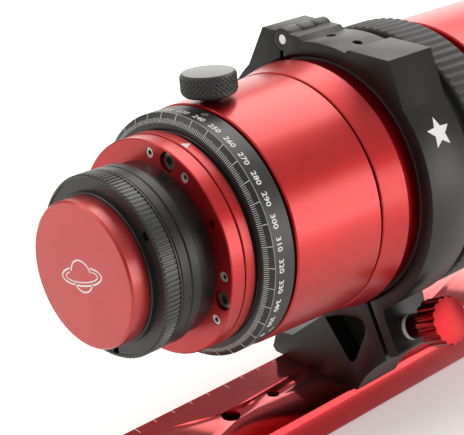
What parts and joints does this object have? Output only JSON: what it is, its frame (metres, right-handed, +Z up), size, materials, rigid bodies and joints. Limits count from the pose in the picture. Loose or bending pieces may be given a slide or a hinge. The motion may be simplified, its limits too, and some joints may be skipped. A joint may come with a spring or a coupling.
{
  "type": "telescope camera end",
  "caption": "Small red astrograph telescope: capped camera adapter, tilt plate, graduated camera rotator with lock knob, hinged cradle ring, dovetail bar, focus ring, dew shield.",
  "frame": {"origin": "centre of the dovetail bar's underside, midway along the bar and under the cradle ring", "axes": "+Y along the optical axis from the camera end to the sky, +Z up from the dovetail to the tube, +X towards the clamp knob"},
  "size_m": [0.1236, 0.3383, 0.1656],
  "materials": {
    "red_anodised": "satin red anodised",
    "red_gloss": "bright red anodised",
    "black_anodised": "satin black anodised",
    "matt_black": "matt black anodised",
    "black_steel": "black oxide",
    "steel": "bright stainless",
    "white_paint": "white filled mark",
    "white_nylon": "natural nylon",
    "brass": "turned",
    "felt": "black felt",
    "rubber": "moulded",
    "lens_glass": "polished and coated"
  },
  "bodies": {
    "mount": {"dovetail_bar": "red_gloss", "dovetail_bolts": "steel", "cradle_base": "black_anodised", "cradle_felt_base": "felt", "hinge_pin": "steel"},
    "cradle_arm": {"cradle_arm": "black_anodised", "cradle_felt_arm": "felt", "clamp_washer": "white_nylon"},
    "clamp_knob": {"clamp_knob": "red_anodised", "clamp_screw": "steel"},
    "telescope_tube": {"rear_barrel": "red_anodised", "scale_ring": "black_anodised", "scale_ring_screws": "steel", "lock_shoe": "brass", "collar": "red_anodised", "main_tube": "red_anodised", "focus_retainer": "red_anodised", "front_tube": "red_anodised", "tube_baffles": "matt_black", "dew_felt": "felt", "objective_cell": "matt_black", "objective_lens_back": "lens_glass", "objective_lens_middle": "lens_glass", "objective_lens_front": "lens_glass", "objective_spacer_back": "matt_black", "objective_spacer_front": "matt_black", "objective_retainer": "matt_black"},
    "camera_rotator": {"rotator_spigot": "black_anodised", "rotator_retainer": "black_anodised", "index_ring": "red_anodised", "index_mark": "white_paint", "tilt_plate": "red_anodised", "tilt_push_screws": "steel", "tilt_pull_screws": "black_steel", "adapter_nose": "black_anodised", "spacer_ring_front": "black_anodised", "spacer_ring_rear": "black_anodised", "adapter_grip_ring": "black_anodised"},
    "rear_cap": {"rear_cap": "red_anodised"},
    "lock_knob": {"lock_knob": "black_anodised"},
    "focus_ring": {"focus_ring": "black_anodised", "focus_grip": "rubber"},
    "lens_carriage": {"lens_carriage": "matt_black", "corrector_lens_rear": "lens_glass", "corrector_spacer": "matt_black", "corrector_lens_front": "lens_glass", "corrector_retainer": "matt_black"},
    "dew_shield": {"dew_shield": "red_anodised"},
    "front_cap": {"front_cap": "red_anodised", "front_cap_plug": "red_anodised", "front_cap_seal": "rubber"}
  },
  "joints": [
    {"name": "arm_hinge", "type": "hinge", "parent": "mount", "child": "cradle_arm", "pos_m": [-0.0224, 0, 0.161], "axis": [0, -1, 0], "range_deg": [0, 95]},
    {"name": "clamp_knob_turn", "type": "hinge", "parent": "cradle_arm", "child": "clamp_knob", "pos_m": [0.03541, 0, 0.04523], "axis": [0.8829, 0, 0.4695], "range_deg": [0, 360]},
    {"name": "tube_turn", "type": "hinge", "parent": "mount", "child": "telescope_tube", "pos_m": [0, 0, 0.105], "axis": [0, 1, 0], "continuous": true},
    {"name": "camera_rotation", "type": "hinge", "parent": "telescope_tube", "child": "camera_rotator", "pos_m": [0, -0.09, 0.105], "axis": [0, 1, 0], "continuous": true},
    {"name": "rear_cap_off", "type": "slide", "parent": "camera_rotator", "child": "rear_cap", "axis": [0, -1, 0], "range_m": [0, 0.05]},
    {"name": "lock_knob_turn", "type": "hinge", "parent": "telescope_tube", "child": "lock_knob", "pos_m": [-0.00575, -0.0693, 0.1597], "axis": [-0.1045, 0, 0.9945], "range_deg": [0, 360]},
    {"name": "focus_turn", "type": "hinge", "parent": "telescope_tube", "child": "focus_ring", "pos_m": [0, 0.03, 0.105], "axis": [0, 1, 0], "range_deg": [-150, 150]},
    {"name": "focus_travel", "type": "slide", "parent": "telescope_tube", "child": "lens_carriage", "axis": [0, 1, 0], "range_m": [-0.004, 0.004]},
    {"name": "dew_slide", "type": "slide", "parent": "telescope_tube", "child": "dew_shield", "axis": [0, 1, 0], "range_m": [0, 0.07]},
    {"name": "front_cap_off", "type": "slide", "parent": "dew_shield", "child": "front_cap", "axis": [0, 1, 0], "range_m": [0, 0.07]}
  ],
  "couplings": [
    {"joint": "focus_travel", "follows": "focus_turn", "m_per_rad": 0.0015279}
  ]
}
